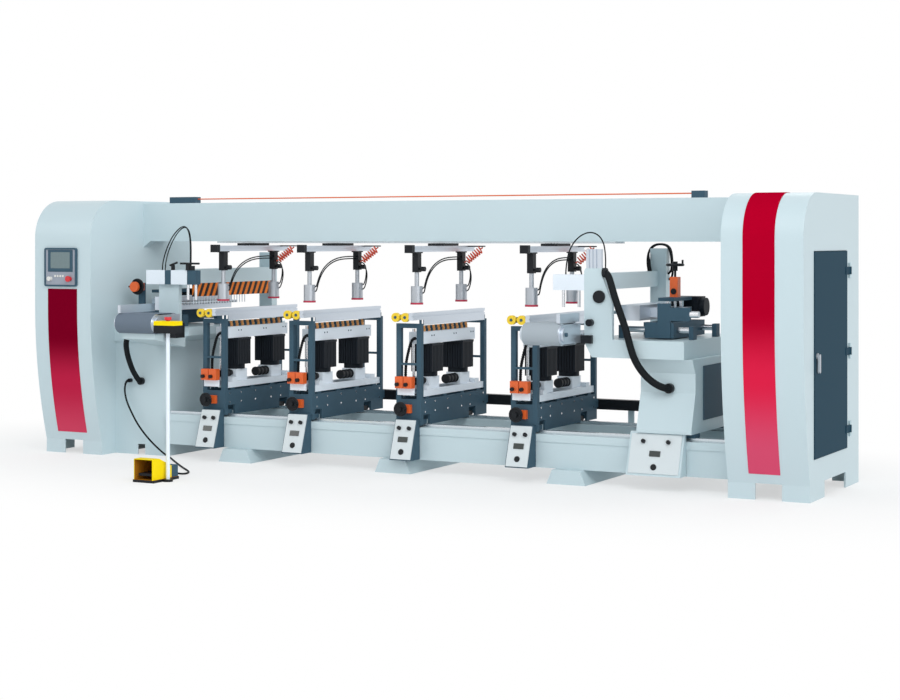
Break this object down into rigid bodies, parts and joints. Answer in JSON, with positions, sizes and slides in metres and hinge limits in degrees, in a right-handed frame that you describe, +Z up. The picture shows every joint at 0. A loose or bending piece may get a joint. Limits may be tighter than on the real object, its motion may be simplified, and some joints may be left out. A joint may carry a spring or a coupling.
{
  "type": "line boring machine",
  "caption": "Line boring machine for furniture panels with sliding vertical units, horizontal end units, clamp bars under a beam, cabinets, feed conveyors and a foot pedal",
  "frame": {"origin": "on the floor, at the centre of the middle sleeper's bottom face", "axes": "+X along the machine towards the door cabinet, +Y to the rear, +Z up"},
  "size_m": [5.3464, 2.308, 1.7342],
  "materials": {
    "pale_paint": "satin",
    "slate_paint": "satin",
    "white_paint": "satin",
    "motor_black": "matte",
    "guard_orange": "satin",
    "pedal_yellow": "satin",
    "red_panel": "gloss",
    "red_plastic": "gloss",
    "white_plastic": "gloss",
    "black_plastic": "matte",
    "black_rubber": "matte",
    "rail_steel": "ground",
    "machined_alu": "machined",
    "bright_chrome": "polished"
  },
  "bodies": {
    "base": {"left_cabinet": "pale_paint", "right_cabinet": "pale_paint", "stripe_panels": "red_panel", "operator_panel": "slate_paint", "top_beam": "pale_paint", "guide_rails": "rail_steel", "bed_frame": "pale_paint", "left_pedestal": "pale_paint", "left_conveyor": "machined_alu", "left_guard": "guard_orange", "base_hoses": "black_rubber", "pedal_station": "pedal_yellow", "pedal_cord": "black_rubber"},
    "door": {"cabinet_door": "slate_paint"},
    "latch": {"door_latch": "bright_chrome"},
    "start": {"start_button": "white_plastic"},
    "stop": {"stop_button": "red_plastic"},
    "treadle": {"pedal_treadle": "black_plastic"},
    "pole_stop": {"pole_stop_button": "red_plastic"},
    "unit_1": {"unit_frame_1": "slate_paint", "unit_table_1": "machined_alu"},
    "head_1": {"boring_head_1": "white_paint", "head_motors_1": "motor_black"},
    "wheel_1": {"unit_handwheel_1": "black_plastic"},
    "clamp_1": {"clamp_bar_1": "machined_alu", "air_hoses_1": "black_rubber"},
    "foot_1": {"clamp_feet_1": "bright_chrome"},
    "unit_2": {"unit_frame_2": "slate_paint", "unit_table_2": "machined_alu"},
    "head_2": {"boring_head_2": "white_paint", "head_motors_2": "motor_black"},
    "wheel_2": {"unit_handwheel_2": "black_plastic"},
    "clamp_2": {"clamp_bar_2": "machined_alu", "air_hoses_2": "black_rubber"},
    "foot_2": {"clamp_feet_2": "bright_chrome"},
    "unit_3": {"unit_frame_3": "slate_paint", "unit_table_3": "machined_alu"},
    "head_3": {"boring_head_3": "white_paint", "head_motors_3": "motor_black"},
    "wheel_3": {"unit_handwheel_3": "black_plastic"},
    "clamp_3": {"clamp_bar_3": "machined_alu", "air_hoses_3": "black_rubber"},
    "foot_3": {"clamp_feet_3": "bright_chrome"},
    "unit_4": {"unit_frame_4": "slate_paint", "unit_table_4": "machined_alu"},
    "head_4": {"boring_head_4": "white_paint", "head_motors_4": "motor_black"},
    "wheel_4": {"unit_handwheel_4": "black_plastic"},
    "clamp_4": {"clamp_bar_4": "machined_alu", "air_hoses_4": "black_rubber"},
    "foot_4": {"clamp_feet_4": "bright_chrome"},
    "left_feed": {"left_slide": "slate_paint"},
    "left_drill": {"left_head": "machined_alu"},
    "left_wheel": {"left_handwheel": "black_plastic"},
    "right_unit": {"right_column": "pale_paint", "right_conveyor": "machined_alu", "right_hose": "black_rubber"},
    "right_feed": {"right_slide": "slate_paint"},
    "right_drill": {"right_head": "machined_alu"},
    "right_wheel": {"right_handwheel": "black_plastic"}
  },
  "joints": [
    {"name": "door_swing", "type": "hinge", "parent": "base", "child": "door", "pos_m": [2.669, 0.286, 0.8], "axis": [0, 0, 1], "range_deg": [0, 105]},
    {"name": "latch_turn", "type": "hinge", "parent": "door", "child": "latch", "pos_m": [2.666, -0.388, 0.79827], "axis": [1, 0, 0], "range_deg": [0, 90]},
    {"name": "start_press", "type": "slide", "parent": "base", "child": "start", "axis": [0, 1, 0], "range_m": [0, 0.005], "stiffness_N_per_m": 400, "springref_m": -0.002},
    {"name": "stop_press", "type": "slide", "parent": "base", "child": "stop", "axis": [0, 1, 0], "range_m": [0, 0.005], "stiffness_N_per_m": 400, "springref_m": -0.002},
    {"name": "treadle_press", "type": "hinge", "parent": "base", "child": "treadle", "pos_m": [-1.09, -1.335, 0.046], "axis": [1, 0, 0], "range_deg": [0, 7], "stiffness_Nm_per_rad": 8, "springref_deg": -6.88},
    {"name": "pole_stop_press", "type": "slide", "parent": "base", "child": "pole_stop", "axis": [0, 0, -1], "range_m": [0, 0.006], "stiffness_N_per_m": 800, "springref_m": -0.006},
    {"name": "unit_slide_1", "type": "slide", "parent": "base", "child": "unit_1", "axis": [1, 0, 0], "range_m": [-0.1, 0.2]},
    {"name": "head_lift_1", "type": "slide", "parent": "unit_1", "child": "head_1", "axis": [0, 0, 1], "range_m": [0, 0.07]},
    {"name": "wheel_turn_1", "type": "hinge", "parent": "unit_1", "child": "wheel_1", "pos_m": [-1.39328, -0.436, 0.398], "axis": [0, -1, 0], "range_deg": [-720, 1440]},
    {"name": "clamp_slide_1", "type": "slide", "parent": "base", "child": "clamp_1", "axis": [1, 0, 0], "range_m": [-0.1, 0.1]},
    {"name": "foot_press_1", "type": "slide", "parent": "clamp_1", "child": "foot_1", "axis": [0, 0, -1], "range_m": [0, 0.025]},
    {"name": "unit_slide_2", "type": "slide", "parent": "base", "child": "unit_2", "axis": [1, 0, 0], "range_m": [-0.2, 0.2]},
    {"name": "head_lift_2", "type": "slide", "parent": "unit_2", "child": "head_2", "axis": [0, 0, 1], "range_m": [0, 0.07]},
    {"name": "wheel_turn_2", "type": "hinge", "parent": "unit_2", "child": "wheel_2", "pos_m": [-0.72563, -0.436, 0.398], "axis": [0, -1, 0], "range_deg": [-1440, 1440]},
    {"name": "clamp_slide_2", "type": "slide", "parent": "base", "child": "clamp_2", "axis": [1, 0, 0], "range_m": [-0.1, 0.1]},
    {"name": "foot_press_2", "type": "slide", "parent": "clamp_2", "child": "foot_2", "axis": [0, 0, -1], "range_m": [0, 0.025]},
    {"name": "unit_slide_3", "type": "slide", "parent": "base", "child": "unit_3", "axis": [1, 0, 0], "range_m": [-0.2, 0.2]},
    {"name": "head_lift_3", "type": "slide", "parent": "unit_3", "child": "head_3", "axis": [0, 0, 1], "range_m": [0, 0.07]},
    {"name": "wheel_turn_3", "type": "hinge", "parent": "unit_3", "child": "wheel_3", "pos_m": [0.05938, -0.436, 0.398], "axis": [0, -1, 0], "range_deg": [-1440, 1440]},
    {"name": "clamp_slide_3", "type": "slide", "parent": "base", "child": "clamp_3", "axis": [1, 0, 0], "range_m": [-0.1, 0.1]},
    {"name": "foot_press_3", "type": "slide", "parent": "clamp_3", "child": "foot_3", "axis": [0, 0, -1], "range_m": [0, 0.025]},
    {"name": "unit_slide_4", "type": "slide", "parent": "base", "child": "unit_4", "axis": [1, 0, 0], "range_m": [-0.2, 0.02]},
    {"name": "head_lift_4", "type": "slide", "parent": "unit_4", "child": "head_4", "axis": [0, 0, 1], "range_m": [0, 0.07]},
    {"name": "wheel_turn_4", "type": "hinge", "parent": "unit_4", "child": "wheel_4", "pos_m": [0.84699, -0.436, 0.398], "axis": [0, -1, 0], "range_deg": [-1440, 144]},
    {"name": "clamp_slide_4", "type": "slide", "parent": "base", "child": "clamp_4", "axis": [1, 0, 0], "range_m": [-0.1, 0.1]},
    {"name": "foot_press_4", "type": "slide", "parent": "clamp_4", "child": "foot_4", "axis": [0, 0, -1], "range_m": [0, 0.025]},
    {"name": "left_feed_slide", "type": "slide", "parent": "base", "child": "left_feed", "axis": [1, 0, 0], "range_m": [0, 0.07]},
    {"name": "left_head_adjust", "type": "slide", "parent": "left_feed", "child": "left_drill", "axis": [0, 0, 1], "range_m": [-0.01, 0.02]},
    {"name": "left_wheel_turn", "type": "hinge", "parent": "left_feed", "child": "left_wheel", "pos_m": [-2.04, -0.31, 1.124], "axis": [0, -1, 0], "range_deg": [-360, 720]},
    {"name": "right_unit_slide", "type": "slide", "parent": "base", "child": "right_unit", "axis": [1, 0, 0], "range_m": [0, 0.2]},
    {"name": "right_feed_slide", "type": "slide", "parent": "right_unit", "child": "right_feed", "axis": [-1, 0, 0], "range_m": [0, 0.07]},
    {"name": "right_head_adjust", "type": "slide", "parent": "right_feed", "child": "right_drill", "axis": [0, 0, 1], "range_m": [-0.01, 0.02]},
    {"name": "right_wheel_turn", "type": "hinge", "parent": "right_feed", "child": "right_wheel", "pos_m": [1.69, 0, 1.292], "axis": [0, 0, 1], "range_deg": [-360, 720]}
  ],
  "couplings": [
    {"joint": "wheel_turn_1", "follows": "unit_slide_1", "rad_per_m": 125.66},
    {"joint": "wheel_turn_2", "follows": "unit_slide_2", "rad_per_m": 125.66},
    {"joint": "wheel_turn_3", "follows": "unit_slide_3", "rad_per_m": 125.66},
    {"joint": "wheel_turn_4", "follows": "unit_slide_4", "rad_per_m": 125.66},
    {"joint": "left_wheel_turn", "follows": "left_head_adjust", "rad_per_m": 628.32},
    {"joint": "right_wheel_turn", "follows": "right_head_adjust", "rad_per_m": 628.32}
  ]
}
